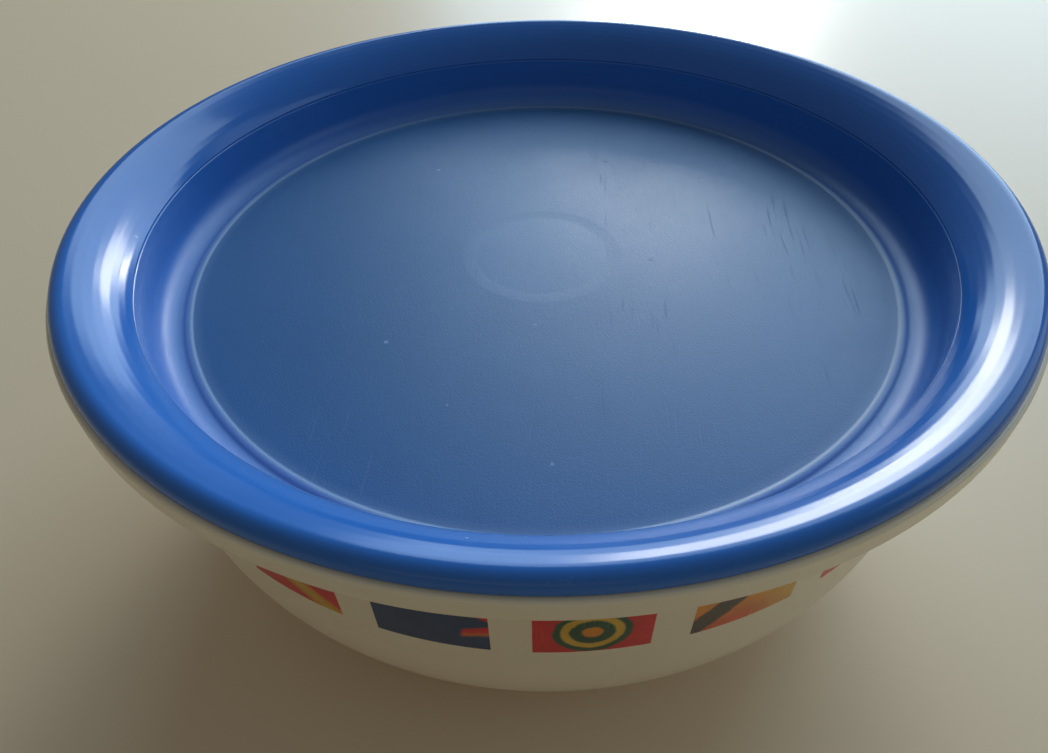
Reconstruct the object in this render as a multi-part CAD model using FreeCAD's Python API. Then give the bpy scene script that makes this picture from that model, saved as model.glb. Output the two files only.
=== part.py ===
"""Lidded rice bowl: a moulded bowl with a flared lip, a press-in lid and picture tiles round the wall.

The origin is the centre of the foot ring's face, +Z is the axis of both mouldings, and lengths are in
millimetres. Every round piece is a section in the XZ plane, turned about Z. A section runs through
points (r, z) and through arcs, which straight lines join.
"""

import FreeCAD
import Part

import math
import os

# Bowl
bowl_height = 62.0       # foot face to the seat that the lid rests on
body_radius = 69.2       # outside of the wall, where the lip starts to flare
wall = 2.3               # wall of the bowl
wall_draft = 1.0         # degrees that the wall leans outward, so it leaves the mould
belly_radius = 30.4      # outside round between the wall and the base
base_wall = 2.8          # floor of the bowl
foot_radius = 45.0       # outside of the foot ring
foot_width = 2.8
foot_height = 3.0        # foot face to the underside of the base
foot_round = 0.8

# Lip of the bowl
lip_overhang = 6.5       # how far the lip stands out past the wall
lip_edge = 3.9           # height of the lip's outer edge
lip_neck_round = 4.6     # round between the wall and the lip's underside
lip_lower_round = 1.2
lip_upper_round = 0.5
mouth_round = 0.8        # edge where the flare meets the inside wall

# Lid
lid_wall = 1.6
lid_reveal = 0.7         # how far the lid's edge stops short of the lip's
lid_rise = 2.2           # seat to the crown of the lid's rim
lid_edge_round = 1.8     # outer edge of the rim
lid_seat_break = 0.3     # chamfer under the rim's outer edge
roll_radius = 13.15      # rim's convex roll, which slopes in and down to the recess
roll_start = 19.0        # degrees of slope at the outside of the roll
roll_drop = 6.0          # crown of the rim to the ledge at the foot of the roll
panel_drop = 14.9        # crown of the rim to the flat panel
plug_draft = 5.0         # degrees that the recess wall leans outward
recess_round = 3.8       # round between the recess wall and the panel
ledge_round = 0.4
bead_width = 1.5         # low raised bead round the edge of the panel
bead_height = 0.3
disc_radius = 14.0       # shallow round well in the middle of the panel
disc_depth = 0.15
disc_slope = 2.4         # width of the well's sloping edge

# Fit of the lid in the bowl
roll_gap = 0.15          # between the lid's roll and the bowl's flare
plug_gap = 0.15          # between the lid's plug and the inside of the bowl

# Picture tiles, set flush in the wall
tile_count = 22          # even, so a gap is in the middle of the front
tile_width = 14.6
tile_height = 13.5
tile_depth = 0.3
tile_margin = 1.6        # from the top of a tile to the neck of the lip
skin_foot = -60.0        # lowest place, in degrees round the belly, that a tile could follow it to
tile_motifs = ("tiles_slant", "tiles_stripe", "tiles_night", "tiles_ring")   # in order, from the back

# Closer than this, two points are the same point
joined = 1e-6            # ends of two steps of a section
same_edge = 1e-4         # a built edge and the corner it was built from


def polar(centre, radius, angle):
    """Point at an angle, in degrees from +r, on a circle in the section plane."""
    turn = math.radians(angle)
    return (centre[0] + radius * math.cos(turn), centre[1] + radius * math.sin(turn))


def arc(centre, radius, start, end):
    """Start, middle and end points of an arc."""
    return tuple(polar(centre, radius, angle) for angle in (start, (start + end) / 2, end))


def rounded(before, corner, after, radius):
    """Arc that rounds the corner between two straight lines."""
    ways = [FreeCAD.Vector(end[0] - corner[0], end[1] - corner[1], 0).normalize() for end in (before, after)]
    half = ways[0].getAngle(ways[1]) / 2
    inward = (ways[0] + ways[1]).normalize()
    middle = radius / math.sin(half) - radius
    reach = radius / math.tan(half)
    moves = (ways[0] * reach, inward * middle, ways[1] * reach)
    return tuple((corner[0] + move.x, corner[1] + move.y) for move in moves)


def section(*steps):
    """Closed face in the XZ plane through points and arcs."""
    arcs = [step if isinstance(step[0], tuple) else (step,) for step in steps]
    edges = []
    for step, following in zip(arcs, arcs[1:] + arcs[:1]):
        spots = [FreeCAD.Vector(r, 0, z) for r, z in step]
        target = FreeCAD.Vector(following[0][0], 0, following[0][1])
        if len(spots) > 1:
            edges.append(Part.Arc(*spots).toShape())
        if spots[-1].distanceToPoint(target) > joined:
            edges.append(Part.LineSegment(spots[-1], target).toShape())
    return Part.Face(Part.Wire(edges))


def turned(face, angle=360.0):
    """Solid made by turning a section about Z."""
    return face.revolve(FreeCAD.Vector(0, 0, 0), FreeCAD.Vector(0, 0, 1), angle)


def on_circle(centre, radius, base_point, draft):
    """Angle where a drafted wall line, rising through a point, crosses the upper half of a circle."""
    lean = math.tan(math.radians(draft))
    offset = base_point[0] + (centre[1] - base_point[1]) * lean - centre[0]
    a = 1 + lean ** 2
    b = 2 * offset * lean
    c = offset ** 2 - radius ** 2
    rise = (-b + math.sqrt(b * b - 4 * a * c)) / (2 * a)
    return math.degrees(math.atan2(rise, offset + rise * lean))


# Lip and neck of the bowl
draft_cos = math.cos(math.radians(wall_draft))
draft_sin = math.sin(math.radians(wall_draft))
draft_tan = math.tan(math.radians(wall_draft))
lip_radius = body_radius + lip_overhang
lip_bottom = bowl_height - lip_edge
neck_height = lip_bottom - lip_neck_round * (1 - draft_sin)
neck_centre = (body_radius + lip_neck_round * draft_cos, neck_height - lip_neck_round * draft_sin)


def wall_at(height, depth=0.0):
    """Radius of the drafted wall at a height, measured at a depth below its outside."""
    return body_radius - (neck_height - height) * draft_tan - depth / draft_cos


def belly_centre(lowest, radius, depth):
    """Centre of the round that joins a level floor to the drafted wall at a depth."""
    height = lowest + radius
    return (wall_at(height, depth) - radius / draft_cos, height)


# Rim of the lid, whose roll, its underside and the bowl's flare share one centre
lid_radius = lip_radius - lid_reveal
roll_normal = 90 + roll_start
rim_crown = bowl_height + lid_rise
rim_slope = math.sin(math.radians(roll_normal))
edge_centre = (lid_radius - lid_edge_round, rim_crown - lid_edge_round * rim_slope)
roll_centre = polar(edge_centre, lid_edge_round - roll_radius, roll_normal)
under_radius = roll_radius - lid_wall
flare_radius = under_radius - roll_gap


def level_on(radius, height):
    """Angle where a circle about the roll's centre is at a height, on the side of the bowl's axis."""
    return 180 - math.degrees(math.asin((height - roll_centre[1]) / radius))


inside_wall = (wall_at(neck_height, wall), neck_height)
flare_end = on_circle(roll_centre, flare_radius, inside_wall, wall_draft)
mouth = polar(roll_centre, flare_radius, flare_end)


def make_bowl():
    """Bowl with its foot ring, belly, flared lip and the seat for the lid."""
    outer = belly_centre(foot_height, belly_radius, 0.0)
    inner_radius = belly_radius - wall
    inner = belly_centre(foot_height + base_wall, inner_radius, wall)
    foot_angle = -math.degrees(math.acos((foot_radius - outer[0]) / belly_radius))
    foot_top = polar(outer, belly_radius, foot_angle)
    foot_inside = foot_radius - foot_width
    foot_corners = ((foot_inside, foot_height), (foot_inside, 0.0), (foot_radius, 0.0), foot_top)
    lower_centre = (lip_radius - lip_lower_round, lip_bottom + lip_lower_round)
    upper_centre = (lip_radius - lip_upper_round, bowl_height - lip_upper_round)
    profile = section(
        (0.0, foot_height),
        foot_corners[0],
        rounded(*foot_corners[:3], foot_round),
        rounded(*foot_corners[1:], foot_round),
        arc(outer, belly_radius, foot_angle, -wall_draft),
        arc(neck_centre, lip_neck_round, 180 - wall_draft, 90),
        arc(lower_centre, lip_lower_round, -90, 0),
        arc(upper_centre, lip_upper_round, 0, 90),
        arc(roll_centre, flare_radius, level_on(flare_radius, bowl_height), flare_end),
        arc(inner, inner_radius, -wall_draft, -90),
        (0.0, foot_height + base_wall),
    )
    bowl = turned(profile)
    mouth_edges = [
        edge for edge in bowl.Edges
        if all(math.dist((math.hypot(v.X, v.Y), v.Z), mouth) < same_edge for v in edge.Vertexes)
    ]
    return bowl.makeFillet(mouth_round, mouth_edges)


def make_lid():
    """Lid with a rolled rim, a plug that drops into the bowl, and a recessed flat panel."""
    lean_cos = math.cos(math.radians(plug_draft))
    lean_tan = math.tan(math.radians(plug_draft))
    plug_mouth = (mouth[0] - plug_gap, mouth[1])
    panel = rim_crown - panel_drop
    ledge = rim_crown - roll_drop

    def recess_at(height):
        """Radius of the recess wall at a height."""
        return plug_mouth[0] + (height - plug_mouth[1]) * lean_tan - lid_wall / lean_cos

    round_height = panel + recess_round
    round_centre = (recess_at(round_height) - recess_round / lean_cos, round_height)
    recess_top = (recess_at(ledge), ledge)
    recess_foot = polar(round_centre, recess_round, -plug_draft)
    ledge_end = polar(roll_centre, roll_radius, level_on(roll_radius, ledge))
    bead_outside = round_centre[0]
    bead = (
        (bead_outside - bead_width, panel),
        (bead_outside - bead_width / 2, panel + bead_height),
        (bead_outside, panel),
    )
    profile = section(
        (0.0, panel - disc_depth),
        (disc_radius - disc_slope, panel - disc_depth),
        (disc_radius, panel),
        bead,
        arc(round_centre, recess_round, -90, -plug_draft),
        rounded(recess_foot, recess_top, ledge_end, ledge_round),
        arc(roll_centre, roll_radius, level_on(roll_radius, ledge), roll_normal),
        arc(edge_centre, lid_edge_round, roll_normal, 0),
        (lid_radius, bowl_height + lid_seat_break),
        (lid_radius - lid_seat_break, bowl_height),
        arc(roll_centre, under_radius, level_on(under_radius, bowl_height),
            on_circle(roll_centre, under_radius, plug_mouth, plug_draft)),
        arc(round_centre, recess_round + lid_wall, -plug_draft, -90),
        (0.0, panel - lid_wall),
    )
    return turned(profile)


def make_tiles():
    """Thin curved tiles, equally spaced round the wall, with a gap in the middle of the front."""
    top = neck_height - tile_margin
    across = math.degrees(tile_width / wall_at(top))
    belly = belly_centre(foot_height, belly_radius, 0.0)
    skin = turned(section(
        arc(belly, belly_radius, skin_foot, -wall_draft),
        (wall_at(top), top),
        (wall_at(top, tile_depth), top),
        arc(belly, belly_radius - tile_depth, -wall_draft, skin_foot),
    ), across)
    corner = FreeCAD.Vector(-lip_radius, -lip_radius, top - tile_height)
    blank = skin.common(Part.makeBox(2 * lip_radius, 2 * lip_radius, tile_height, corner))
    pitch = 360 / tile_count
    tiles = []
    for place in range(tile_count):
        tile = blank.Solids[0].copy()
        start = 90 + (place + 0.5) * pitch - across / 2
        tile.rotate(FreeCAD.Vector(0, 0, 0), FreeCAD.Vector(0, 0, 1), start)
        tiles.append(tile)
    return tiles


def main():
    """Write one STEP file for each node."""
    os.makedirs("parts", exist_ok=True)
    tiles = make_tiles()
    nodes = {"bowl": make_bowl().cut(tiles), "lid": make_lid()}
    for place, name in enumerate(tile_motifs):
        nodes[name] = Part.makeCompound(tiles[place::len(tile_motifs)])
    for name, shape in nodes.items():
        shape.exportStep("parts/" + name + ".step")


main()
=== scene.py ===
"""Lidded rice bowl with picture tiles: the looks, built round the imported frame.

The file is laid out as an add-on and is run as a script. Lengths are in metres, +Z is up, and the bowl
stands on z = 0 with its axis on Z.
"""

import math

import bmesh
import bpy
from bpy.props import FloatProperty, FloatVectorProperty, IntProperty, PointerProperty
from mathutils import Matrix, Vector


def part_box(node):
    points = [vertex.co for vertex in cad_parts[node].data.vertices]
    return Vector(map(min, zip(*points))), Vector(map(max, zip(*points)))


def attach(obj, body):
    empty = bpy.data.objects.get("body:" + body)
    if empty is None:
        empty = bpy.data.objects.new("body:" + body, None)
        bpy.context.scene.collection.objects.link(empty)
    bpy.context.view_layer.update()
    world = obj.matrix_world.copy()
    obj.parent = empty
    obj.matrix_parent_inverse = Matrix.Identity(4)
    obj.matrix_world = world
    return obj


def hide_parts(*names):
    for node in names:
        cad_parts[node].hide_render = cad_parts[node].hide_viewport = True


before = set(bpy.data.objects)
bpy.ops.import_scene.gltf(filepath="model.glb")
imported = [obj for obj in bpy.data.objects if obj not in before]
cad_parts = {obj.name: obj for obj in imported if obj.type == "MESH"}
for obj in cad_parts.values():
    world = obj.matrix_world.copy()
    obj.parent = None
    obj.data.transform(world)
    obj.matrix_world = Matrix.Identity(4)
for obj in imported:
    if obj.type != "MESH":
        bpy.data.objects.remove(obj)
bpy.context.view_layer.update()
BOWL_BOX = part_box("bowl")
LID_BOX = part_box("lid")
TILE_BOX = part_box("tiles_stripe")

bl_info = {
    "name": "Lidded Rice Bowl",
    "version": (1, 0, 0),
    "blender": (4, 5, 0),
    "location": "View3D > Sidebar > Rice Bowl",
    "description": "Builds a rice bowl with picture tiles, its lift-off lid and a plain studio stage",
    "category": "Add Mesh",
}

TILE_SHAPE = 0.925          # height of a tile over its width
TURNS = 288                 # faces round the bowl and the lid
ARC_STEP = math.radians(6)  # finest turn between two points of a rounded outline
TILE_COLUMNS = 15           # points across the width of a tile
TILE_ROWS = 9
TILE_EDGE = math.radians(40)    # an edge of a tile sharper than this stays crisp
SUPPORT = 0.00025           # distance of the extra ring that keeps a flat beside a round flat
WELD = 1e-6
MM = 0.001
LONGEST_CHORD = 1.2 * MM    # between two points of a rounded outline


# ---------------------------------------------------------------- settings

def length(name, description, default):
    """Length property in metres."""
    return FloatProperty(
        name=name, description=description, default=default, min=0.0, unit="LENGTH", precision=5)


def place_on_axis(name, description, default):
    """Length property that may be negative."""
    return FloatProperty(name=name, description=description, default=default, unit="LENGTH")


def angle(name, description, degrees):
    """Angle property, given in degrees."""
    return FloatProperty(name=name, description=description, default=math.radians(degrees), subtype="ANGLE")


def colour(name, description, default):
    """Colour property."""
    return FloatVectorProperty(
        name=name, description=description, default=default, size=3, min=0.0, max=1.0, subtype="COLOR")


def share(name, description, default, most=1.0):
    """Plain number property."""
    return FloatProperty(name=name, description=description, default=default, min=0.0, max=most)


class BowlSettings(bpy.types.PropertyGroup):
    """Sizes and colour of the bowl."""

    wall: length("Wall", "Thickness of the wall", 2.3 * MM)
    draft: angle("Draft", "How far the wall leans outward", 1.0)
    belly_round: length("Belly round", "Outside round between the wall and the base", 30.4 * MM)
    base_wall: length("Floor", "Thickness of the floor", 2.8 * MM)
    foot_radius: length("Foot radius", "Outside of the foot ring", 45.0 * MM)
    foot_width: length("Foot width", "Width of the foot ring", 2.8 * MM)
    foot_height: length("Foot height", "Table to the underside of the base", 3.0 * MM)
    foot_round: length("Foot round", "Rounding of the foot ring's edges", 0.8 * MM)
    lip_overhang: length("Lip overhang", "How far the lip stands out past the wall", 6.5 * MM)
    lip_edge: length("Lip edge", "Height of the lip's outer edge", 3.9 * MM)
    neck_round: length("Neck round", "Round between the wall and the lip's underside", 4.6 * MM)
    lip_lower_round: length("Lower lip round", "Rounding under the lip's edge", 1.2 * MM)
    lip_upper_round: length("Upper lip round", "Rounding over the lip's edge", 0.5 * MM)
    mouth_round: length("Mouth round", "Rounding where the flare meets the inside wall", 0.8 * MM)
    white: colour("Body colour", "Off-white of the moulding", (0.86, 0.75, 0.53))
    # Also used for the grey-brown patches along the lip's lower edge.
    grey_brown_marks: colour("Wear colour", "Grey-brown that gathers on the foot and the lip", (0.30, 0.26, 0.20))


class LidSettings(bpy.types.PropertyGroup):
    """Sizes and colours of the lid."""

    wall: length("Wall", "Thickness of the lid", 1.6 * MM)
    edge_round: length("Edge round", "Rounding of the rim's outer edge", 1.8 * MM)
    seat_break: length("Seat break", "Chamfer under the rim's outer edge", 0.3 * MM)
    roll_radius: length("Roll radius", "Radius of the rim's convex roll", 13.15 * MM)
    roll_start: angle("Roll start", "Slope at the outside of the roll", 19.0)
    roll_drop: length("Roll drop", "Crown of the rim to the ledge at the foot of the roll", 6.0 * MM)
    panel_drop: length("Panel drop", "Crown of the rim to the flat panel", 14.9 * MM)
    plug_draft: angle("Plug draft", "How far the recess wall leans outward", 5.0)
    recess_round: length("Recess round", "Round between the recess wall and the panel", 3.8 * MM)
    ledge_round: length("Ledge round", "Rounding of the ledge's edge", 0.4 * MM)
    bead_width: length("Bead width", "Width of the bead round the panel", 1.5 * MM)
    bead_height: length("Bead height", "Height of the bead round the panel", 0.2 * MM)
    disc_radius: length("Disc radius", "Radius of the shallow well in the panel", 14.0 * MM)
    disc_depth: length("Disc depth", "Depth of the shallow well", 0.06 * MM)
    disc_slope: length("Disc slope", "Width of the well's sloping edge", 2.4 * MM)
    gap: length("Fit gap", "Gap between the lid and the bowl", 0.15 * MM)
    blue: colour("Rim blue", "Colour of the glossy rim and recess", (0.026, 0.150, 0.500))
    panel_blue: colour("Panel blue", "Colour of the grained panel", (0.040, 0.145, 0.350))
    # Also the colour of the painted highlight ring round the bead and of the painted highlight lines on the
    # rim's outer edge and the ledge.
    pale: colour("Scuff blue", "Paler blue of scuffs and worn edges", (0.36, 0.50, 0.72))


class TileSettings(bpy.types.PropertyGroup):
    """Sizes and colours of the picture tiles."""

    width: length("Width", "Width of a tile round the wall", 14.6 * MM)
    thickness: length("Thickness", "Thickness of a tile", 0.3 * MM)
    proud: length("Print height", "How far the glazed print stands over the wall", 0.02 * MM)
    count: IntProperty(name="Tiles", description="Number of tiles round the bowl", default=22, min=4)
    red: colour("Red", "Red of the prints", (0.70, 0.030, 0.034))
    orange: colour("Orange", "Orange of the prints", (0.78, 0.27, 0.020))
    yellow: colour("Yellow", "Yellow of the prints", (0.72, 0.42, 0.045))
    navy: colour("Navy", "Dark blue of the prints", (0.020, 0.056, 0.135))
    green: colour("Green", "Dark green of the prints", (0.020, 0.095, 0.045))
    brown: colour("Brown", "Dark grey-brown of the prints", (0.085, 0.060, 0.042))


class StageSettings(bpy.types.PropertyGroup):
    """Camera, lights and floor."""

    lens: FloatProperty(name="Lens", description="Focal length of the camera", default=25.76, unit="CAMERA")
    reach: length("Reach", "Camera to the aiming point", 89.3 * MM)
    aim_x: place_on_axis("Aim X", "Aiming point across the view", -3.7 * MM)
    aim_y: place_on_axis("Aim Y", "Aiming point along the view", -47.1 * MM)
    pitch: angle("Pitch", "How far the camera looks down", 43.93)
    roll: angle("Roll", "How far the camera leans", -1.48)
    turn: angle("Turn", "How far the view is turned about the bowl's axis", 5.07)
    window: share("Window power", "Power of the high pane, in watts; the low one has a third", 1.9, 100.0)
    glow: share("Glow power", "Power of the wide soft light behind the bowl, in watts", 40.0, 500.0)
    side: share("Side power", "Power of the soft light at the right, in watts", 4.0, 500.0)
    fill: share("Fill power", "Power of the soft front light, in watts", 0.4, 100.0)
    sky: share("Sky strength", "Brightness of the surroundings", 0.16, 10.0)
    floor: colour("Floor", "Colour of the floor", (0.78, 0.62, 0.42))


GROUPS = {
    "rice_bowl_bowl": BowlSettings,
    "rice_bowl_lid": LidSettings,
    "rice_bowl_tiles": TileSettings,
    "rice_bowl_stage": StageSettings,
}


# ---------------------------------------------------------------- outlines

def polar(centre, radius, turn):
    """Point (r, z) at an angle from +r on a circle in the section plane."""
    return (centre[0] + radius * math.cos(turn), centre[1] + radius * math.sin(turn))


def arc(centre, radius, start, end):
    """Points along an arc."""
    swept = abs(end - start)
    steps = max(4, math.ceil(swept / ARC_STEP), math.ceil(swept * radius / LONGEST_CHORD))
    return [polar(centre, radius, start + (end - start) * step / steps) for step in range(steps + 1)]


def rounded(before, corner, after, radius):
    """Points of the arc that rounds the corner between two straight lines."""
    corner = Vector(corner)
    ways = [(Vector(end) - corner).normalized() for end in (before, after)]
    half = ways[0].angle(ways[1]) / 2
    centre = corner + (ways[0] + ways[1]).normalized() * radius / math.sin(half)
    ends = [corner + way * radius / math.tan(half) - centre for way in ways]
    start, end = (math.atan2(spoke.y, spoke.x) for spoke in ends)
    end += math.tau * round((start - end) / math.tau)
    return arc(centre, radius, start, end)


def outline(*steps):
    """One list of points from single points and arcs, with a support point near each end of a long line."""
    points = []
    for step in steps:
        points.extend(step if isinstance(step, list) else [step])
    supported = []
    for here, following in zip(points, points[1:]):
        supported.append(here)
        run = Vector(following) - Vector(here)
        if run.length > 4 * SUPPORT:
            inset = run.normalized() * SUPPORT
            supported.append(tuple(Vector(here) + inset))
            supported.append(tuple(Vector(following) - inset))
    return supported + [points[-1]]


def crossing(centre, radius, point, lean):
    """Angle where a leaning wall line through a point crosses the upper half of a circle."""
    slope = math.tan(lean)
    offset = point[0] + (centre[1] - point[1]) * slope - centre[0]
    a = 1 + slope ** 2
    b = 2 * offset * slope
    c = offset ** 2 - radius ** 2
    rise = (-b + math.sqrt(b * b - 4 * a * c)) / (2 * a)
    return math.atan2(rise, offset + rise * slope)


class Rim:
    """Circles that the lid's rim and the bowl's flare share, worked out from the frame and the settings."""

    def __init__(self, bowl, lid):
        self.seat = BOWL_BOX[1].z
        self.lip_radius = BOWL_BOX[1].x
        self.lid_radius = LID_BOX[1].x
        self.body_radius = self.lip_radius - bowl.lip_overhang
        self.edge_centre = (self.lid_radius - lid.edge_round, LID_BOX[1].z - lid.edge_round)
        self.normal = math.pi / 2 + lid.roll_start
        self.crown = self.edge_centre[1] + lid.edge_round * math.sin(self.normal)
        self.centre = polar(self.edge_centre, lid.edge_round - lid.roll_radius, self.normal)
        self.under_radius = lid.roll_radius - lid.wall
        self.flare_radius = self.under_radius - lid.gap
        self.lip_bottom = self.seat - bowl.lip_edge
        self.neck = self.lip_bottom - bowl.neck_round * (1 - math.sin(bowl.draft))
        inside = (self.wall_at(self.neck, bowl, bowl.wall), self.neck)
        self.flare_end = crossing(self.centre, self.flare_radius, inside, bowl.draft)
        self.mouth = polar(self.centre, self.flare_radius, self.flare_end)

    def wall_at(self, height, bowl, depth=0.0):
        """Radius of the drafted wall at a height, measured at a depth below its outside."""
        return self.body_radius - (self.neck - height) * math.tan(bowl.draft) - depth / math.cos(bowl.draft)

    def level(self, radius, height):
        """Angle where a circle about the rim's centre is at a height, on the side of the axis."""
        return math.pi - math.asin((height - self.centre[1]) / radius)


def bowl_outline(bowl, lid):
    """Section of the bowl from the middle of its floor over the lip to the middle of its underside."""
    rim = Rim(bowl, lid)

    def belly(lowest, radius, depth):
        height = lowest + radius
        return (rim.wall_at(height, bowl, depth) - radius / math.cos(bowl.draft), height)

    outer = belly(bowl.foot_height, bowl.belly_round, 0.0)
    inner_round = bowl.belly_round - bowl.wall
    floor = bowl.foot_height + bowl.base_wall
    inner = belly(floor, inner_round, bowl.wall)
    foot_angle = -math.acos((bowl.foot_radius - outer[0]) / bowl.belly_round)
    foot_top = polar(outer, bowl.belly_round, foot_angle)
    foot_inside = bowl.foot_radius - bowl.foot_width
    foot = (foot_top, (bowl.foot_radius, 0.0), (foot_inside, 0.0), (foot_inside, bowl.foot_height))
    neck_centre = (rim.body_radius + bowl.neck_round * math.cos(bowl.draft),
                   rim.neck - bowl.neck_round * math.sin(bowl.draft))
    upper = (rim.lip_radius - bowl.lip_upper_round, rim.seat - bowl.lip_upper_round)
    lower = (rim.lip_radius - bowl.lip_lower_round, rim.lip_bottom + bowl.lip_lower_round)
    mouth_turn = bowl.mouth_round / rim.flare_radius
    flare_stop = rim.flare_end - mouth_turn
    wall_top = (rim.mouth[0] - bowl.mouth_round * math.sin(bowl.draft), rim.mouth[1] - bowl.mouth_round)
    flare_foot = polar(rim.centre, rim.flare_radius, flare_stop)
    mouth = rounded(wall_top, rim.mouth, flare_foot, 1.5 * bowl.mouth_round)
    return outline(
        (0.0, floor),
        arc(inner, inner_round, -math.pi / 2, -bowl.draft),
        mouth,
        arc(rim.centre, rim.flare_radius, flare_stop, rim.level(rim.flare_radius, rim.seat)),
        arc(upper, bowl.lip_upper_round, math.pi / 2, 0.0),
        arc(lower, bowl.lip_lower_round, 0.0, -math.pi / 2),
        arc(neck_centre, bowl.neck_round, math.pi / 2, math.pi - bowl.draft),
        arc(outer, bowl.belly_round, -bowl.draft, foot_angle),
        rounded(*foot[:3], bowl.foot_round),
        rounded(*foot[1:], bowl.foot_round),
        foot[3],
        (0.0, bowl.foot_height),
    )


def lid_outline(bowl, lid):
    """Section of the lid from the middle of its underside over the rim to the middle of its top."""
    rim = Rim(bowl, lid)
    lean = lid.plug_draft
    plug_mouth = (rim.mouth[0] - lid.gap, rim.mouth[1])
    panel = rim.crown - lid.panel_drop
    ledge = rim.crown - lid.roll_drop

    def recess_at(height):
        return plug_mouth[0] + (height - plug_mouth[1]) * math.tan(lean) - lid.wall / math.cos(lean)

    round_height = panel + lid.recess_round
    centre = (recess_at(round_height) - lid.recess_round / math.cos(lean), round_height)
    recess_foot = polar(centre, lid.recess_round, -lean)
    recess_top = (recess_at(ledge), ledge)
    ledge_angle = rim.level(lid.roll_radius, ledge)
    ledge_end = polar(rim.centre, lid.roll_radius, ledge_angle)
    half_bead = lid.bead_width / 2
    bead_round = (half_bead ** 2 + lid.bead_height ** 2) / (2 * lid.bead_height)
    bead_turn = math.asin(half_bead / bead_round)
    bead_centre = (centre[0] - half_bead, panel + lid.bead_height - bead_round)
    return outline(
        (0.0, panel - lid.wall),
        arc(centre, lid.recess_round + lid.wall, -math.pi / 2, -lean),
        arc(rim.centre, rim.under_radius, crossing(rim.centre, rim.under_radius, plug_mouth, lean),
            rim.level(rim.under_radius, rim.seat)),
        (rim.lid_radius - lid.seat_break, rim.seat),
        (rim.lid_radius, rim.seat + lid.seat_break),
        arc(rim.edge_centre, lid.edge_round, 0.0, rim.normal),
        arc(rim.centre, lid.roll_radius, rim.normal, ledge_angle),
        rounded(ledge_end, recess_top, recess_foot, lid.ledge_round),
        arc(centre, lid.recess_round, -lean, -math.pi / 2),
        arc(bead_centre, bead_round, math.pi / 2 - bead_turn, math.pi / 2 + bead_turn),
        (lid.disc_radius, panel),
        (lid.disc_radius - lid.disc_slope, panel - lid.disc_depth),
        (0.0, panel - lid.disc_depth),
    )


# ---------------------------------------------------------------- node building

class Steps:
    """Adds nodes to a tree one after another and joins them as they are added."""

    def __init__(self, tree):
        self.tree = tree

    def add(self, kind, sockets=None, **settings):
        """Adds a node, makes its settings, then feeds its sockets by name or number."""
        node = self.tree.nodes.new(kind)
        for name, value in settings.items():
            setattr(node, name, value)
        for key, value in (sockets or {}).items():
            self.feed(node.inputs[key], value)
        node.location = (220 * (len(self.tree.nodes) % 12), -260 * (len(self.tree.nodes) // 12))
        return node

    def feed(self, socket, value):
        """Links an output to a socket, or sets the socket's own value."""
        if isinstance(value, bpy.types.NodeSocket):
            self.tree.links.new(value, socket)
        elif value is not None:
            socket.default_value = value

    def calc(self, operation, *values, clamp=False):
        """Output of a Math node."""
        node = self.add("ShaderNodeMath", dict(enumerate(values)), operation=operation, use_clamp=clamp)
        return node.outputs[0]

    def plus(self, a, b, clamp=False):
        """Sum of two values."""
        return self.calc("ADD", a, b, clamp=clamp)

    def minus(self, a, b):
        """First value less the second."""
        return self.calc("SUBTRACT", a, b)

    def times(self, a, b):
        """Product of two values."""
        return self.calc("MULTIPLY", a, b)

    def distance(self, a, b):
        """Length of the long side of a right triangle with two given sides."""
        return self.calc("SQRT", self.plus(self.times(a, a), self.times(b, b)))

    def vector(self, operation, *values, output="Vector"):
        """Output of a Vector Math node."""
        node = self.add("ShaderNodeVectorMath", dict(enumerate(values)), operation=operation)
        return node.outputs[output]

    def ramp(self, value, low, high, to_low=0.0, to_high=1.0):
        """A value eased from one range to another."""
        sockets = {"Value": value, "From Min": low, "From Max": high, "To Min": to_low, "To Max": to_high}
        return self.add("ShaderNodeMapRange", sockets, interpolation_type="SMOOTHSTEP").outputs[0]

    def blend(self, factor, a, b, mode="MIX"):
        """Colour mixed from two others."""
        node = self.add("ShaderNodeMix", {0: factor, 6: a, 7: b}, data_type="RGBA", blend_type=mode)
        return node.outputs[2]

    def noise(self, vector, scale, detail=2.0, roughness=0.5, distortion=0.0):
        """Value of a noise texture."""
        sockets = {"Vector": vector, "Scale": scale, "Detail": detail, "Roughness": roughness,
                   "Distortion": distortion}
        return self.add("ShaderNodeTexNoise", sockets).outputs[0]

    def group(self, tree, **sockets):
        """Places a node group and returns its first output."""
        node = self.add(self.tree.bl_idname.replace("Tree", "Group"))
        node.node_tree = tree
        for name, value in sockets.items():
            self.feed(node.inputs[name.replace("_", " ")], value)
        return node.outputs[0]


def new_group(name, kind, inputs, outputs):
    """Empty node group with named sockets, its steps, and its input and output nodes."""
    tree = bpy.data.node_groups.new(name, kind)
    for direction, sockets in (("INPUT", inputs), ("OUTPUT", outputs)):
        for socket_name, (socket_kind, default) in sockets.items():
            socket = tree.interface.new_socket(socket_name, in_out=direction, socket_type=socket_kind)
            if default is not None:
                socket.default_value = default
    steps = Steps(tree)
    given = steps.add("NodeGroupInput")
    result = steps.add("NodeGroupOutput")
    return tree, steps, given.outputs, result.inputs


FLOAT = "NodeSocketFloat"
VECTOR = "NodeSocketVector"
COLOUR = "NodeSocketColor"
GEOMETRY = "NodeSocketGeometry"


# ---------------------------------------------------------------- geometry nodes

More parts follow.
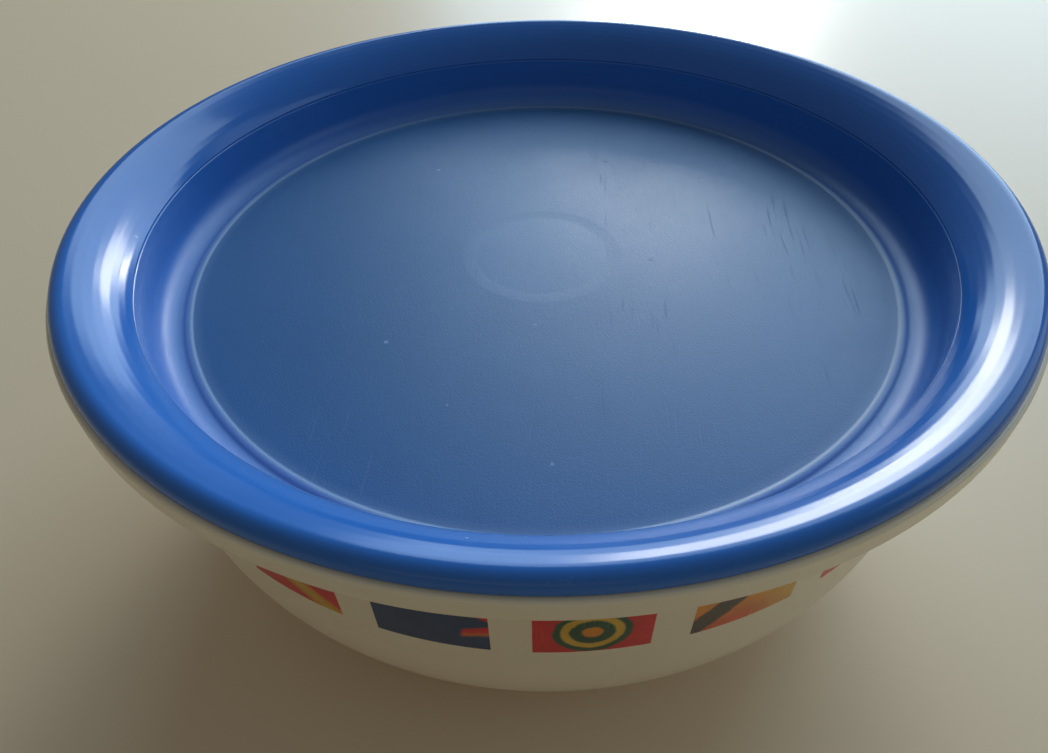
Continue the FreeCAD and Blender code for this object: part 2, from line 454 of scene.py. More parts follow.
def lathe_tree():
    """Geometry Nodes: turns an outline in the XZ plane into a closed solid of revolution about Z."""
    tree, steps, given, result = new_group("turned_moulding", "GeometryNodeTree", {
        "Outline": (GEOMETRY, None),
        "Turns": ("NodeSocketInt", TURNS),
        "Weld": (FLOAT, WELD),
        "Material": ("NodeSocketMaterial", None),
    }, {"Geometry": (GEOMETRY, None)})
    counted = steps.add("GeometryNodeAttributeDomainSize", {"Geometry": given["Outline"]})
    count = counted.outputs["Point Count"]
    across = steps.plus(given["Turns"], 1)
    grid = steps.add("GeometryNodeMeshGrid", {
        "Size X": 1.0, "Size Y": 1.0, "Vertices X": across, "Vertices Y": count})
    named = steps.add("GeometryNodeStoreNamedAttribute", {
        "Geometry": grid.outputs["Mesh"], "Name": "UVMap", "Value": grid.outputs["UV Map"],
    }, data_type="FLOAT2", domain="CORNER")
    place = steps.add("ShaderNodeSeparateXYZ", {0: steps.add("GeometryNodeInputPosition").outputs[0]})
    along = steps.plus(place.outputs["Y"], 0.5)
    last = steps.minus(count, 1)
    index = steps.calc("ROUND", steps.times(along, last))
    spot = steps.add("GeometryNodeInputPosition").outputs[0]
    sample = steps.add("GeometryNodeSampleIndex", {
        "Geometry": given["Outline"], "Value": spot, "Index": index,
    }, data_type="FLOAT_VECTOR", domain="POINT")
    section = steps.add("ShaderNodeSeparateXYZ", {0: sample.outputs[0]})
    turn = steps.times(place.outputs["X"], math.tau)
    x = steps.times(section.outputs["X"], steps.calc("COSINE", turn))
    y = steps.times(section.outputs["X"], steps.calc("SINE", turn))
    ring = steps.add("ShaderNodeCombineXYZ", {"X": x, "Y": y, "Z": section.outputs["Z"]})
    moved = steps.add("GeometryNodeSetPosition", {
        "Geometry": named.outputs[0], "Position": ring.outputs[0]})
    welded = steps.add("GeometryNodeMergeByDistance", {
        "Geometry": moved.outputs[0], "Distance": given["Weld"]})
    smooth = steps.add("GeometryNodeSetShadeSmooth", {"Geometry": welded.outputs[0]})
    real = steps.add("GeometryNodeRealizeInstances", {"Geometry": smooth.outputs[0]})
    final = steps.add("GeometryNodeSetMaterial", {
        "Geometry": real.outputs[0], "Material": given["Material"]})
    steps.feed(result["Geometry"], final.outputs[0])
    return tree


def tile_tree():
    """Geometry Nodes: curved tiles with their own UV map, repeated at equal steps round the wall."""
    tree, steps, given, result = new_group("tile_belt", "GeometryNodeTree", {
        "Geometry": (GEOMETRY, None),
        "Width": (FLOAT, 0.0),
        "Height": (FLOAT, 0.0),
        "Thickness": (FLOAT, 0.0),
        "Middle": (FLOAT, 0.0),
        "Wall Radius": (FLOAT, 0.0),
        "Lean": (FLOAT, 0.0),
        "Count": ("NodeSocketInt", 0),
        "First": (FLOAT, 0.0),
        "Step": (FLOAT, 0.0),
        "Seed": ("NodeSocketInt", 0),
        "Material": ("NodeSocketMaterial", None),
    }, {"Geometry": (GEOMETRY, None)})
    size = steps.add("ShaderNodeCombineXYZ", {
        "X": given["Width"], "Y": given["Thickness"], "Z": given["Height"]})
    cube = steps.add("GeometryNodeMeshCube", {
        "Size": size.outputs[0], "Vertices X": TILE_COLUMNS, "Vertices Y": 2, "Vertices Z": TILE_ROWS})
    place = steps.add("ShaderNodeSeparateXYZ", {0: steps.add("GeometryNodeInputPosition").outputs[0]})
    u = steps.plus(steps.calc("DIVIDE", place.outputs["X"], given["Width"]), 0.5)
    v = steps.plus(steps.calc("DIVIDE", place.outputs["Z"], given["Height"]), 0.5)
    uv = steps.add("ShaderNodeCombineXYZ", {"X": u, "Y": v})
    mapped = steps.add("GeometryNodeStoreNamedAttribute", {
        "Geometry": cube.outputs["Mesh"], "Name": "UVMap", "Value": uv.outputs[0],
    }, data_type="FLOAT2", domain="CORNER")
    turn = steps.calc("DIVIDE", place.outputs["X"], given["Wall Radius"])
    lean = steps.times(place.outputs["Z"], steps.calc("TANGENT", given["Lean"]))
    depth = steps.minus(steps.times(given["Thickness"], -0.5), place.outputs["Y"])
    radius = steps.plus(steps.plus(given["Wall Radius"], lean), depth)
    bent = steps.add("ShaderNodeCombineXYZ", {
        "X": steps.times(radius, steps.calc("COSINE", turn)),
        "Y": steps.times(radius, steps.calc("SINE", turn)),
        "Z": steps.plus(place.outputs["Z"], given["Middle"]),
    })
    tile = steps.add("GeometryNodeSetPosition", {
        "Geometry": mapped.outputs[0], "Position": bent.outputs[0]})
    smooth = steps.add("GeometryNodeSetShadeSmooth", {"Geometry": tile.outputs[0]})
    corner = steps.add("GeometryNodeInputMeshEdgeAngle").outputs["Unsigned Angle"]
    sharp = steps.add("FunctionNodeCompare", {"A": corner, "B": TILE_EDGE}, operation="GREATER_THAN")
    edged = steps.add("GeometryNodeSetShadeSmooth", {
        "Geometry": smooth.outputs[0], "Selection": sharp.outputs[0], "Shade Smooth": False}, domain="EDGE")
    points = steps.add("GeometryNodePoints", {"Count": given["Count"], "Position": (0.0, 0.0, 0.0)})
    order = steps.add("GeometryNodeInputIndex").outputs[0]
    facing = steps.plus(given["First"], steps.times(order, given["Step"]))
    rotation = steps.add("ShaderNodeCombineXYZ", {"Z": facing})
    belt = steps.add("GeometryNodeInstanceOnPoints", {
        "Points": points.outputs[0], "Instance": edged.outputs[0], "Rotation": rotation.outputs[0]})
    chance = steps.add("FunctionNodeRandomValue", {"Seed": given["Seed"]}, data_type="FLOAT")
    toned = steps.add("GeometryNodeStoreNamedAttribute", {
        "Geometry": belt.outputs[0], "Name": "tone", "Value": chance.outputs[1],
    }, data_type="FLOAT", domain="INSTANCE")
    real = steps.add("GeometryNodeRealizeInstances", {"Geometry": toned.outputs[0]})
    final = steps.add("GeometryNodeSetMaterial", {
        "Geometry": real.outputs[0], "Material": given["Material"]})
    steps.feed(result["Geometry"], final.outputs[0])
    return tree


def grown(name, mesh, tree, material, **sizes):
    """Plain mesh object from a Geometry Nodes tree run on a starting mesh, with its faces outward."""
    starter = bpy.data.objects.new(name + "_outline", mesh)
    bpy.context.scene.collection.objects.link(starter)
    modifier = starter.modifiers.new("shape", "NODES")
    modifier.node_group = tree
    wanted = {key.replace("_", " ").title(): value for key, value in sizes.items()}
    wanted["Material"] = material
    for item in tree.interface.items_tree:
        if item.in_out == "INPUT" and item.name in wanted:
            modifier[item.identifier] = wanted[item.name]
    graph = bpy.context.evaluated_depsgraph_get()
    plain = bpy.data.meshes.new_from_object(
        starter.evaluated_get(graph), preserve_all_data_layers=True, depsgraph=graph)
    bpy.data.objects.remove(starter)
    plain.name = name
    work = bmesh.new()
    work.from_mesh(plain)
    bmesh.ops.recalc_face_normals(work, faces=work.faces)
    work.to_mesh(plain)
    work.free()
    piece = bpy.data.objects.new(name, plain)
    bpy.context.scene.collection.objects.link(piece)
    return piece


def chain(points):
    """Mesh with the outline's points joined by edges."""
    mesh = bpy.data.meshes.new("outline")
    edges = [(place, place + 1) for place in range(len(points) - 1)]
    mesh.from_pydata([(r, 0.0, z) for r, z in points], edges, [])
    return mesh


# ---------------------------------------------------------------- shader groups

def section_place(steps, place):
    """Radius and height of a point of the surface."""
    split = steps.add("ShaderNodeSeparateXYZ", {0: place})
    flat = steps.add("ShaderNodeCombineXYZ", {"X": split.outputs["X"], "Y": split.outputs["Y"]})
    return steps.vector("LENGTH", flat.outputs[0], output="Value"), split.outputs["Z"]


def mottle_group():
    """Colour that drifts a little lighter and darker in two sizes of cloud, as in a pigmented moulding."""
    tree, steps, given, result = new_group("pigment_mottle", "ShaderNodeTree", {
        "Vector": (VECTOR, None),
        "Color": (COLOUR, None),
        "Scale": (FLOAT, 30.0),
        "Spread": (FLOAT, 0.1),
    }, {"Color": (COLOUR, None)})
    broad = steps.noise(given["Vector"], given["Scale"], 3.0)
    fine = steps.noise(given["Vector"], steps.times(given["Scale"], 14.0), 2.0)
    both = steps.plus(steps.times(broad, 0.7), steps.times(fine, 0.3))
    swing = steps.times(steps.minus(both, 0.5), steps.times(given["Spread"], 2.0))
    value = steps.plus(swing, 1.0)
    tinted = steps.add("ShaderNodeHueSaturation", {"Value": value, "Color": given["Color"]})
    steps.feed(result["Color"], tinted.outputs[0])
    return tree


def grain_group():
    """Height of an even, fine spark grain with a slight orange peel under it."""
    tree, steps, given, result = new_group("moulded_grain", "ShaderNodeTree", {
        "Vector": (VECTOR, None),
        "Scale": (FLOAT, 3000.0),
        "Peel": (FLOAT, 0.3),
    }, {"Height": (FLOAT, None)})
    cells = steps.add("ShaderNodeTexVoronoi", {"Vector": given["Vector"], "Scale": given["Scale"]})
    pits = steps.ramp(cells.outputs["Distance"], 0.0, 0.9)
    rough = steps.noise(given["Vector"], steps.times(given["Scale"], 0.6), 3.0, 0.65)
    peel = steps.noise(given["Vector"], steps.times(given["Scale"], 0.07), 2.0)
    spark = steps.plus(steps.times(pits, 0.5), rough)
    mixed = steps.plus(spark, steps.times(peel, given["Peel"]))
    steps.feed(result["Height"], mixed)
    return tree


def scratch_group():
    """Mask of fine, nearly straight hairline scratches that run in a few directions and come in patches."""
    tree, steps, given, result = new_group("hairline_scratches", "ShaderNodeTree", {
        "Vector": (VECTOR, None),
        "Scale": (FLOAT, 900.0),
        "Amount": (FLOAT, 0.5),
    }, {"Mask": (FLOAT, None)})
    edge = steps.minus(0.80, steps.times(given["Amount"], 0.12))
    masks = []
    for number, turn in enumerate((14, 67, 121)):
        turned = steps.add("ShaderNodeMapping", {
            "Vector": given["Vector"], "Location": (0.31 * number, 0.17 * number, 0.0),
            "Rotation": (0.0, 0.0, math.radians(turn)), "Scale": (1.0, 0.05, 0.08)})
        strand = steps.noise(turned.outputs[0], given["Scale"], 0.0)
        line = steps.ramp(strand, edge, steps.plus(edge, 0.03))
        patch = steps.noise(turned.outputs[0], steps.times(given["Scale"], 0.07), 1.0)
        masks.append(steps.times(line, steps.ramp(patch, 0.54, 0.66)))
    any_line = steps.calc("MAXIMUM", steps.calc("MAXIMUM", masks[0], masks[1]), masks[2])
    steps.feed(result["Mask"], any_line)
    return tree


def ring_wear_and_glint_group():
    """Mask of broken patches along a circular edge, given by the edge's radius and height; used for
    scuffing and for painted highlight lines.
    """
    tree, steps, given, result = new_group("ring_edge_wear_and_glint", "ShaderNodeTree", {
        "Vector": (VECTOR, None),
        "Radius": (FLOAT, 0.07),
        "Height": (FLOAT, 0.06),
        "Reach": (FLOAT, 0.001),
        "Amount": (FLOAT, 0.5),
    }, {"Mask": (FLOAT, None)})
    radius, height = section_place(steps, given["Vector"])
    out = steps.minus(radius, given["Radius"])
    up = steps.minus(height, given["Height"])
    gap = steps.distance(out, up)
    near = steps.ramp(steps.calc("DIVIDE", gap, given["Reach"]), 1.0, 0.0)
    broken = steps.noise(given["Vector"], 420.0, 4.0, 0.7)
    spans = steps.noise(given["Vector"], 45.0, 2.0)
    chance = steps.plus(steps.times(broken, 0.6), steps.times(spans, 0.6))
    low = steps.minus(0.85, steps.times(given["Amount"], 0.35))
    patchy = steps.ramp(chance, low, steps.plus(low, 0.12))
    steps.feed(result["Mask"], steps.times(near, patchy))
    return tree


def dust_group():
    """Mask of scattered small specks."""
    tree, steps, given, result = new_group("dust_specks", "ShaderNodeTree", {
        "Vector": (VECTOR, None),
        "Scale": (FLOAT, 300.0),
        "Amount": (FLOAT, 0.1),
    }, {"Mask": (FLOAT, None)})
    cells = steps.add("ShaderNodeTexVoronoi", {"Vector": given["Vector"], "Scale": given["Scale"]})
    pick = steps.add("ShaderNodeSeparateColor", {0: cells.outputs["Color"]})
    chosen = steps.calc("LESS_THAN", pick.outputs[0], given["Amount"])
    size = steps.plus(steps.times(pick.outputs[1], 0.16), 0.05)
    speck = steps.ramp(steps.calc("DIVIDE", cells.outputs["Distance"], size), 1.0, 0.4)
    steps.feed(result["Mask"], steps.times(speck, chosen))
    return tree


def print_group():
    """Printed colour under a clear glaze: fine dots, a little fading and one tone for each tile."""
    tree, steps, given, result = new_group("foil_print", "ShaderNodeTree", {
        "Vector": (VECTOR, None),
        "Color": (COLOUR, None),
        "Tone": (FLOAT, 0.5),
    }, {"Color": (COLOUR, None)})
    dots = steps.add("ShaderNodeTexVoronoi", {"Vector": given["Vector"], "Scale": 62.0, "Randomness": 0.25})
    dotted = steps.ramp(dots.outputs["Distance"], 0.25, 0.6, 1.04, 0.90)
    cloud = steps.ramp(steps.noise(given["Vector"], 3.5, 4.0), 0.3, 0.7, 0.90, 1.10)
    tone = steps.ramp(given["Tone"], 0.0, 1.0, 0.93, 1.05)
    value = steps.times(steps.times(dotted, cloud), tone)
    tinted = steps.add("ShaderNodeHueSaturation", {"Value": value, "Color": given["Color"]})
    steps.feed(result["Color"], tinted.outputs[0])
    return tree


def shared(name, build):
    """Node group made once and found again by name."""
    return bpy.data.node_groups.get(name) or build()


def shared_groups():
    """The shader groups that the materials share, each built once."""
    return {
        "mottle": shared("pigment_mottle", mottle_group),
        "grain": shared("moulded_grain", grain_group),
        "scratches": shared("hairline_scratches", scratch_group),
        "ring_wear_and_glint": shared("ring_edge_wear_and_glint", ring_wear_and_glint_group),
        "dust": shared("dust_specks", dust_group),
        "print": shared("foil_print", print_group),
    }


# ---------------------------------------------------------------- materials

BOWL_IOR = 1.52
LID_IOR = 1.5
LID_SPECULAR = 0.44
RIM_ROUGHNESS = 0.15
PANEL_ROUGHNESS = 0.34
GRAIN_SCALE = 5600.0        # grains in a metre
HAZE_SCALE = 24.0
PEEL_SCALE = 130.0
PEEL_HEIGHT = 0.006         # in millimetres
GLAZE_SCUFF = (0.7, 0.66, 0.58)


def new_material(name):
    """Empty material with its steps, its Principled shader and its Object coordinates."""
    material = bpy.data.materials.new(name)
    material.use_nodes = True
    material.node_tree.nodes.clear()
    steps = Steps(material.node_tree)
    shader = steps.add("ShaderNodeBsdfPrincipled")
    steps.add("ShaderNodeOutputMaterial", {"Surface": shader.outputs[0]})
    place = steps.add("ShaderNodeTexCoord").outputs["Object"]
    return material, steps, shader, place


def bumped(steps, shader, height):
    """Feeds a relief, in millimetres, to the shader's normal."""
    bump = steps.add("ShaderNodeBump", {"Height": height, "Strength": 1.0, "Distance": 1.0 * MM})
    steps.feed(shader.inputs["Normal"], bump.outputs[0])


def haze(steps, place, low, high):
    """Roughness that drifts softly between two values."""
    return steps.ramp(steps.noise(place, HAZE_SCALE, 0.0), 0.3, 0.7, low, high)


def soft_peel(steps, place):
    """Very slight waviness of a polished moulding, in millimetres."""
    return steps.times(steps.noise(place, PEEL_SCALE, 1.0), PEEL_HEIGHT)


def opaque(rgb):
    """Colour with full alpha."""
    return (*rgb, 1.0)


def lid_material(bowl, lid, groups):
    """Blue plastic: a glossy rim and recess wall, and a panel with a fine matt grain."""
    rim = Rim(bowl, lid)
    material, steps, shader, place = new_material("lid_blue_plastic")
    radius, height = section_place(steps, place)
    panel = rim.crown - lid.panel_drop
    bead_inside = rim.mouth[0] - lid.wall - lid.recess_round - lid.bead_width
    inside = steps.ramp(radius, bead_inside + 0.2 * MM, bead_inside - 0.2 * MM)
    above = steps.calc("GREATER_THAN", height, panel - lid.wall / 2)
    on_panel = steps.times(inside, above)
    low = steps.ramp(height, panel + 2.4 * lid.recess_round, panel + lid.recess_round)
    plug = steps.calc("LESS_THAN", radius, rim.mouth[0] - lid.wall / 2)
    satin = steps.times(steps.times(low, plug), above)
    well = steps.ramp(radius, lid.disc_radius, lid.disc_radius - lid.disc_slope)
    # Broken pale rings: on the rim's outer edge they are scuffing and a painted highlight, and on the ledge
    # they are a painted highlight line.
    edge_wear_and_glint = steps.plus(
        steps.group(groups["ring_wear_and_glint"], Vector=place, Radius=rim.edge_centre[0] + lid.edge_round / 2,
                    Height=rim.crown - lid.edge_round / 6, Reach=0.7 * MM, Amount=0.30),
        steps.group(groups["ring_wear_and_glint"], Vector=place, Radius=rim.lip_radius - 9.6 * MM,
                    Height=rim.crown - lid.roll_drop, Reach=0.5 * MM, Amount=0.25), clamp=True)
    scratches = steps.group(groups["scratches"], Vector=place, Scale=2400.0, Amount=0.4)
    scratches = steps.times(scratches, steps.ramp(satin, 0.0, 1.0, 0.1, 1.0))
    # Painted highlight: a soft pale ring put into the colour round the bead at the panel's edge, standing
    # in for the sheen of the satin fillet.
    bead_middle = bead_inside + lid.bead_width / 2
    off_bead = steps.calc("ABSOLUTE", steps.minus(radius, bead_middle))
    painted_bead_sheen = steps.times(steps.ramp(off_bead, 2.2 * lid.bead_width, 0.0), satin)
    specks = steps.group(groups["dust"], Vector=place, Scale=260.0, Amount=0.035)
    base = steps.blend(on_panel, opaque(lid.blue), opaque(lid.panel_blue))
    mottled = steps.group(groups["mottle"], Vector=place, Color=base, Scale=22.0, Spread=0.12)
    # Paints the pale highlight ring round the bead into the colour.
    with_bead_sheen = steps.blend(steps.times(painted_bead_sheen, 0.30), mottled, opaque(lid.pale))
    # Paints the highlight lines on the edge and the ledge, together with the edge scuffing, into the
    # colour.
    with_edge_wear_and_glint = steps.blend(steps.times(edge_wear_and_glint, 0.55), with_bead_sheen, opaque(lid.pale))
    scratched = steps.blend(steps.times(scratches, 0.04), with_edge_wear_and_glint, opaque(lid.pale))
    dusty = steps.blend(steps.times(specks, 0.55), scratched, opaque(lid.pale))
    steps.feed(shader.inputs["Base Color"], dusty)
    smear = steps.ramp(steps.noise(place, 34.0, 5.0, 0.6, 0.4), 0.35, 0.75, 0.0, 0.07)
    gloss = steps.plus(steps.ramp(satin, 0.0, 1.0, RIM_ROUGHNESS, PANEL_ROUGHNESS), smear)
    welled = steps.plus(gloss, steps.times(steps.times(well, on_panel), -0.05))
    marked = steps.calc("MAXIMUM", steps.times(scratches, 0.4), steps.times(edge_wear_and_glint, 0.5))
    dulled = steps.calc("MAXIMUM", marked, steps.times(specks, 0.7))
    roughness = steps.plus(welled, steps.times(dulled, 0.4), clamp=True)
    steps.feed(shader.inputs["Roughness"], roughness)
    grain = steps.group(groups["grain"], Vector=place, Scale=GRAIN_SCALE, Peel=0.02)
    peel = steps.times(steps.noise(place, 160.0, 2.0), steps.minus(1.0, satin))
    grained = steps.times(steps.times(grain, satin), 0.02)
    raised = steps.plus(grained, steps.times(peel, 0.012))
    relief = steps.minus(raised, steps.times(scratches, 0.004))
    bumped(steps, shader, relief)
    shader.inputs["IOR"].default_value = LID_IOR
    shader.inputs["Specular IOR Level"].default_value = LID_SPECULAR
    return material


def bowl_material(bowl, lid, groups):
    """Off-white moulded plastic with a soft gloss, a foot ring greyed by use, and grey-brown patches along
    the lip's lower edge.
    """
    rim = Rim(bowl, lid)
    material, steps, shader, place = new_material("bowl_white_plastic")
    foot_mid = bowl.foot_radius - bowl.foot_width / 2
    foot = steps.group(groups["ring_wear_and_glint"], Vector=place, Radius=foot_mid, Height=0.0,
                       Reach=1.9 * MM, Amount=1.0)
    # Grey-brown broken patches along the lip's lower edge.
    lip = steps.group(groups["ring_wear_and_glint"], Vector=place, Radius=rim.lip_radius - 0.2 * MM,
                      Height=rim.lip_bottom + bowl.lip_lower_round / 2, Reach=1.1 * MM, Amount=0.5)
    specks = steps.group(groups["dust"], Vector=place, Scale=420.0, Amount=0.02)
    base = steps.group(groups["mottle"], Vector=place, Color=opaque(bowl.white), Scale=16.0, Spread=0.045)
    patchy = steps.calc("MAXIMUM", steps.times(foot, 0.55), steps.times(lip, 0.22))
    spotted = steps.calc("MAXIMUM", patchy, steps.times(specks, 0.30))
    steps.feed(shader.inputs["Base Color"], steps.blend(spotted, base, opaque(bowl.grey_brown_marks)))
    gloss = haze(steps, place, 0.25, 0.29)
    dull = steps.times(foot, 0.45)
    steps.feed(shader.inputs["Roughness"], steps.plus(gloss, dull, clamp=True))
    bumped(steps, shader, soft_peel(steps, place))
    shader.inputs["IOR"].default_value = BOWL_IOR
    shader.inputs["Subsurface Weight"].default_value = 0.08
    shader.inputs["Subsurface Radius"].default_value = (1.2 * MM, 0.9 * MM, 0.6 * MM)
    shader.inputs["Subsurface Scale"].default_value = 1.0
    return material


def disc_mask(steps, u, v, centre, radius, soft=0.03):
    """Soft-edged disc on a tile, as a share of the tile's width."""
    across = steps.minus(u, centre[0])
    up = steps.times(steps.minus(v, centre[1]), TILE_SHAPE)
    gap = steps.distance(across, up)
    return steps.ramp(gap, radius + soft / 2, radius - soft / 2)


def band_mask(steps, u, v, centre, degrees, width, soft=0.04):
    """Soft-edged straight band through a point of a tile."""
    turn = math.radians(degrees)
    across = steps.times(steps.minus(u, centre[0]), -math.sin(turn))
    up = steps.times(steps.minus(v, centre[1]), math.cos(turn))
    gap = steps.calc("ABSOLUTE", steps.plus(across, up))
    return steps.ramp(gap, (width + soft) / 2, (width - soft) / 2)


def stripe_motif(steps, u, v, tiles):
    """Red ground with a slanting orange band that has a yellow core."""
    middle = (0.50, 0.34)
    band = band_mask(steps, u, v, middle, -40, 0.24)
    core = band_mask(steps, u, v, middle, -40, 0.11)
    printed = steps.blend(band, opaque(tiles.red), opaque(tiles.orange))
    return steps.blend(core, printed, opaque(tiles.yellow))


def night_motif(steps, u, v, tiles):
    """Navy ground with a red chevron and a thin orange streak at the right."""
    upper = band_mask(steps, u, v, (0.98, 0.66), -32, 0.20)
    lower = band_mask(steps, u, v, (1.00, 0.36), 20, 0.12)
    right = steps.ramp(u, 0.74, 0.80)
    chevron = steps.times(steps.calc("MAXIMUM", upper, lower), right)
    streak = steps.times(band_mask(steps, u, v, (0.95, 0.28), 12, 0.06), right)
    sheen = steps.ramp(v, 0.0, 1.0, 0.0, 0.12)
    printed = steps.blend(sheen, opaque(tiles.navy), opaque(tiles.green))
    printed = steps.blend(chevron, printed, opaque(tiles.red))
    return steps.blend(steps.times(streak, 0.5), printed, opaque(tiles.orange))


def ring_motif(steps, u, v, tiles):
    """Red ground with green and yellow rings about a low centre."""
    printed = opaque(tiles.red)
    centre = (0.49, 0.36)
    discs = ((0.33, tiles.green), (0.265, tiles.yellow), (0.19, tiles.green), (0.085, tiles.orange))
    for radius, ink in discs:
        printed = steps.blend(disc_mask(steps, u, v, centre, radius), printed, opaque(ink))
    return printed


def slant_motif(steps, u, v, tiles):
    """Orange ground that reddens below, with a dark slanting bar at the left."""
    reddened = steps.blend(steps.ramp(v, 0.42, 0.05, 0.0, 0.65), opaque(tiles.orange), opaque(tiles.red))
    gilded = steps.blend(steps.ramp(u, 0.45, 0.95, 0.0, 0.8), reddened, opaque(tiles.yellow))
    bar = band_mask(steps, u, v, (0.20, 0.30), 48, 0.24)
    return steps.blend(bar, gilded, opaque(tiles.brown))


MOTIFS = {
    "tiles_slant": ("tile_orange", slant_motif),
    "tiles_stripe": ("tile_red_stripe", stripe_motif),
    "tiles_night": ("tile_navy", night_motif),
    "tiles_ring": ("tile_red_ring", ring_motif),
}


def tile_material(name, motif, tiles, groups):
    """Printed tile under the bowl's clear glaze."""
    material, steps, shader, place = new_material(name)
    flat = steps.add("ShaderNodeUVMap", uv_map="UVMap").outputs[0]
    split = steps.add("ShaderNodeSeparateXYZ", {0: flat})
    drift = steps.noise(place, 700.0, 2.0)
    wobble = steps.times(steps.minus(drift, 0.5), 0.035)
    u = steps.plus(split.outputs["X"], wobble)
    v = steps.minus(split.outputs["Y"], wobble)
    tone = steps.add("ShaderNodeAttribute", attribute_name="tone").outputs["Fac"]
    printed = steps.group(groups["print"], Vector=flat, Color=motif(steps, u, v, tiles), Tone=tone)
    scratches = steps.group(groups["scratches"], Vector=place, Scale=1500.0, Amount=0.1)
    pale = steps.blend(steps.times(scratches, 0.06), printed, opaque(GLAZE_SCUFF))
    steps.feed(shader.inputs["Base Color"], pale)
    gloss = haze(steps, place, 0.23, 0.27)
    dull = steps.times(scratches, 0.25)
    steps.feed(shader.inputs["Roughness"], steps.plus(gloss, dull, clamp=True))
    bumped(steps, shader, soft_peel(steps, place))
    shader.inputs["IOR"].default_value = BOWL_IOR
    return material


# ---------------------------------------------------------------- operators

def finished(piece, body, node):
    """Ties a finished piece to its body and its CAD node."""
    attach(piece, body)
    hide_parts(node)


def settings(context):
    """The bowl's, lid's, tiles' and stage's settings."""
    return (getattr(context.scene, name) for name in GROUPS)


class RICEBOWL_OT_bowl(bpy.types.Operator):
    """Build the off-white bowl"""

    bl_idname = "ricebowl.make_bowl"
    bl_label = "Make Bowl"

    def execute(self, context):
        bowl, lid, _, _ = settings(context)
        material = bowl_material(bowl, lid, shared_groups())
        tree = shared("turned_moulding", lathe_tree)
        piece = grown("bowl_shell", chain(bowl_outline(bowl, lid)), tree, material)
        finished(piece, "bowl", "bowl")
        return {"FINISHED"}


class RICEBOWL_OT_lid(bpy.types.Operator):
    """Build the blue lid"""

    bl_idname = "ricebowl.make_lid"
    bl_label = "Make Lid"

    def execute(self, context):
        bowl, lid, _, _ = settings(context)
        material = lid_material(bowl, lid, shared_groups())
        tree = shared("turned_moulding", lathe_tree)
        piece = grown("lid_shell", chain(lid_outline(bowl, lid)), tree, material)
        finished(piece, "lid", "lid")
        return {"FINISHED"}


class RICEBOWL_OT_tiles(bpy.types.Operator):
    """Build the belt of picture tiles, one piece for each motif"""

    bl_idname = "ricebowl.make_tiles"
    bl_label = "Make Tiles"

    def execute(self, context):
        bowl, lid, tiles, _ = settings(context)
        rim = Rim(bowl, lid)
        low, high = TILE_BOX[0].z, TILE_BOX[1].z
        middle = (low + high) / 2
        pitch = math.tau / tiles.count
        groups = shared_groups()
        tree = shared("tile_belt", tile_tree)
        for place, (node, (slot, motif)) in enumerate(MOTIFS.items()):
            material = tile_material(node + "_print", motif, tiles, groups)
            piece = grown(
                node + "_belt", bpy.data.meshes.new("empty"), tree, material,
                width=tiles.width, height=high - low, thickness=tiles.thickness, middle=middle,
                wall_radius=rim.wall_at(middle, bowl) + tiles.proud, lean=bowl.draft,
                count=math.ceil((tiles.count - place) / len(MOTIFS)),
                first=math.pi / 2 + (place + 0.5) * pitch, step=pitch * len(MOTIFS), seed=place)
            finished(piece, "bowl", node)
        return {"FINISHED"}


WINDOW_TINT = (1.0, 0.97, 0.90)
SKY_TINT = (0.58, 0.80, 1.0)
WARM_TINT = (1.0, 0.80, 0.52)
WORLD_TINT = (0.95, 0.98, 1.0)
FLOOR_REACH = 4.0
FLOOR_ROUGHNESS = 0.38



def softbox(name, azimuth, elevation, distance, size, power, tint, turn):
    """Area light that faces the lid; azimuth is from the far side of the view towards its right."""
    light = bpy.data.lights.new(name, "AREA")
    light.shape = "RECTANGLE"
    light.size, light.size_y = size
    light.energy = power
    light.color = tint
    box = bpy.data.objects.new(name, light)
    box.visible_camera = False
    swing = turn - math.radians(azimuth)
    rise = math.radians(elevation)
    way = Vector((-math.sin(swing) * math.cos(rise), math.cos(swing) * math.cos(rise), math.sin(rise)))
    target = Vector((0.0, 0.0, LID_BOX[1].z))
    facing = (-way).to_track_quat("-Z", "Y").to_matrix().to_4x4()
    box.matrix_world = Matrix.Translation(target + way * distance) @ facing
    bpy.context.scene.collection.objects.link(box)


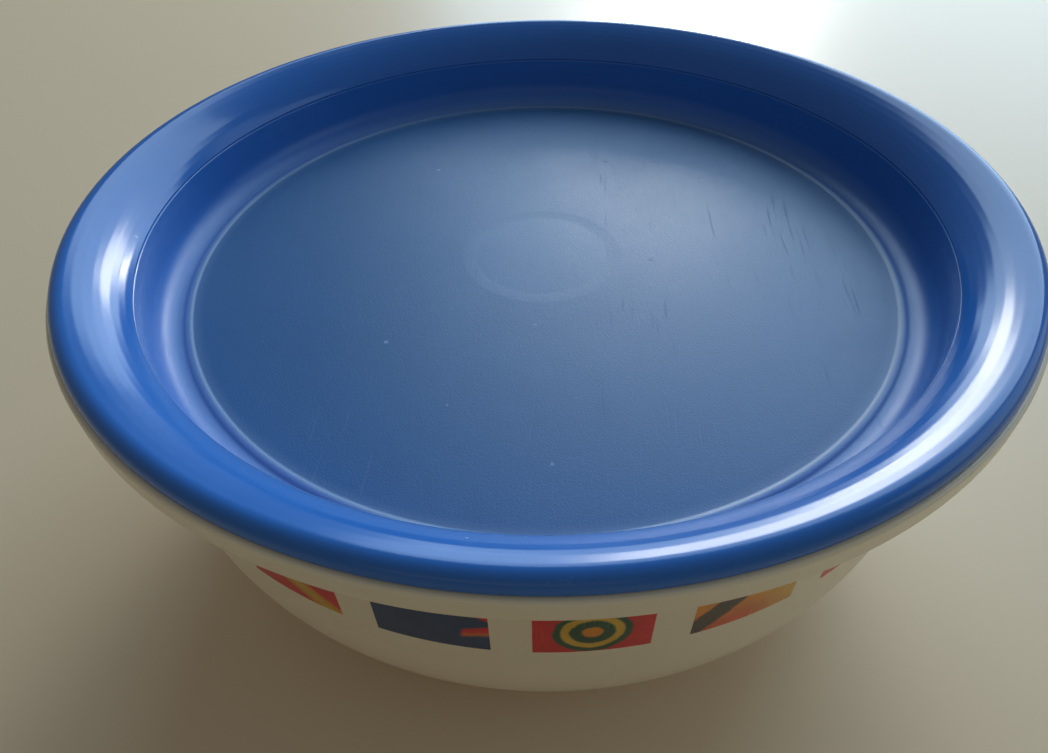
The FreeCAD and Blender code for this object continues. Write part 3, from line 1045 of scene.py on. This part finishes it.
class RICEBOWL_OT_stage(bpy.types.Operator):
    """Build the camera, the lights and the plain floor"""

    bl_idname = "ricebowl.make_stage"
    bl_label = "Make Stage"

    def execute(self, context):
        _, _, _, stage = settings(context)
        scene = context.scene
        lens = bpy.data.cameras.new("camera")
        lens.lens = stage.lens
        lens.clip_start = 1.0 * MM
        camera = bpy.data.objects.new("camera", lens)
        scene.collection.objects.link(camera)
        back = Vector((0.0, -math.cos(stage.pitch), math.sin(stage.pitch))) * stage.reach
        place = Vector((stage.aim_x, stage.aim_y, LID_BOX[1].z)) + back
        camera.matrix_world = (
            Matrix.Rotation(stage.turn, 4, "Z") @ Matrix.Translation(place)
            @ Matrix.Rotation(math.pi / 2 - stage.pitch, 4, "X") @ Matrix.Rotation(stage.roll, 4, "Z"))
        scene.camera = camera
        # Azimuth and elevation in degrees, distance and size in metres
        softbox("window_low", 18.0, 7.0, 1.0, (0.15, 0.07), stage.window / 3, WINDOW_TINT, stage.turn)
        softbox("window_high", 13.0, 17.5, 1.0, (0.26, 0.22), stage.window, WINDOW_TINT, stage.turn)
        softbox("window_glow", 21.0, 27.0, 2.0, (2.0, 1.8), stage.glow, SKY_TINT, stage.turn)
        softbox("side_glow", 85.0, 22.0, 1.8, (1.4, 1.0), stage.side, SKY_TINT, stage.turn)
        softbox("front_fill", 190.0, 18.0, 1.6, (1.4, 0.5), stage.fill, WARM_TINT, stage.turn)
        world = bpy.data.worlds.new("surroundings")
        world.use_nodes = True
        backdrop = world.node_tree.nodes["Background"]
        backdrop.inputs["Color"].default_value = opaque(WORLD_TINT)
        backdrop.inputs["Strength"].default_value = stage.sky
        scene.world = world
        material, steps, shader, spot = new_material("stage_floor")
        mottle = shared_groups()["mottle"]
        tint = steps.group(mottle, Vector=spot, Color=opaque(stage.floor), Scale=2.0, Spread=0.03)
        steps.feed(shader.inputs["Base Color"], tint)
        shader.inputs["Roughness"].default_value = FLOOR_ROUGHNESS
        mesh = bpy.data.meshes.new("floor")
        corners = ((-1, -1), (1, -1), (1, 1), (-1, 1))
        mesh.from_pydata([(x * FLOOR_REACH, y * FLOOR_REACH, 0) for x, y in corners], [], [(0, 1, 2, 3)])
        mesh.materials.append(material)
        floor = bpy.data.objects.new("stage_floor", mesh)
        scene.collection.objects.link(floor)
        scene.view_settings.view_transform = "Standard"
        return {"FINISHED"}


class RICEBOWL_PT_panel(bpy.types.Panel):
    """Lists the pieces and their settings"""

    bl_idname = "RICEBOWL_PT_panel"
    bl_label = "Rice Bowl"
    bl_space_type = "VIEW_3D"
    bl_region_type = "UI"
    bl_category = "Rice Bowl"

    def draw(self, context):
        for operator, group in zip(OPERATORS, GROUPS):
            self.layout.operator(operator.bl_idname)
            for prop in GROUPS[group].__annotations__:
                self.layout.prop(getattr(context.scene, group), prop)


OPERATORS = (RICEBOWL_OT_bowl, RICEBOWL_OT_lid, RICEBOWL_OT_tiles, RICEBOWL_OT_stage)


def register():
    """Registers the classes and hangs their settings on the scene."""
    for item in (*GROUPS.values(), *OPERATORS, RICEBOWL_PT_panel):
        bpy.utils.register_class(item)
    for name, group in GROUPS.items():
        setattr(bpy.types.Scene, name, PointerProperty(type=group))


def unregister():
    """Takes the classes and their settings away again."""
    for name in GROUPS:
        delattr(bpy.types.Scene, name)
    for item in (RICEBOWL_PT_panel, *OPERATORS, *GROUPS.values()):
        bpy.utils.unregister_class(item)


def main():
    """Builds every piece and the stage."""
    register()
    bpy.ops.ricebowl.make_bowl()
    bpy.ops.ricebowl.make_lid()
    bpy.ops.ricebowl.make_tiles()
    bpy.ops.ricebowl.make_stage()


if __name__ == "__main__":
    main()
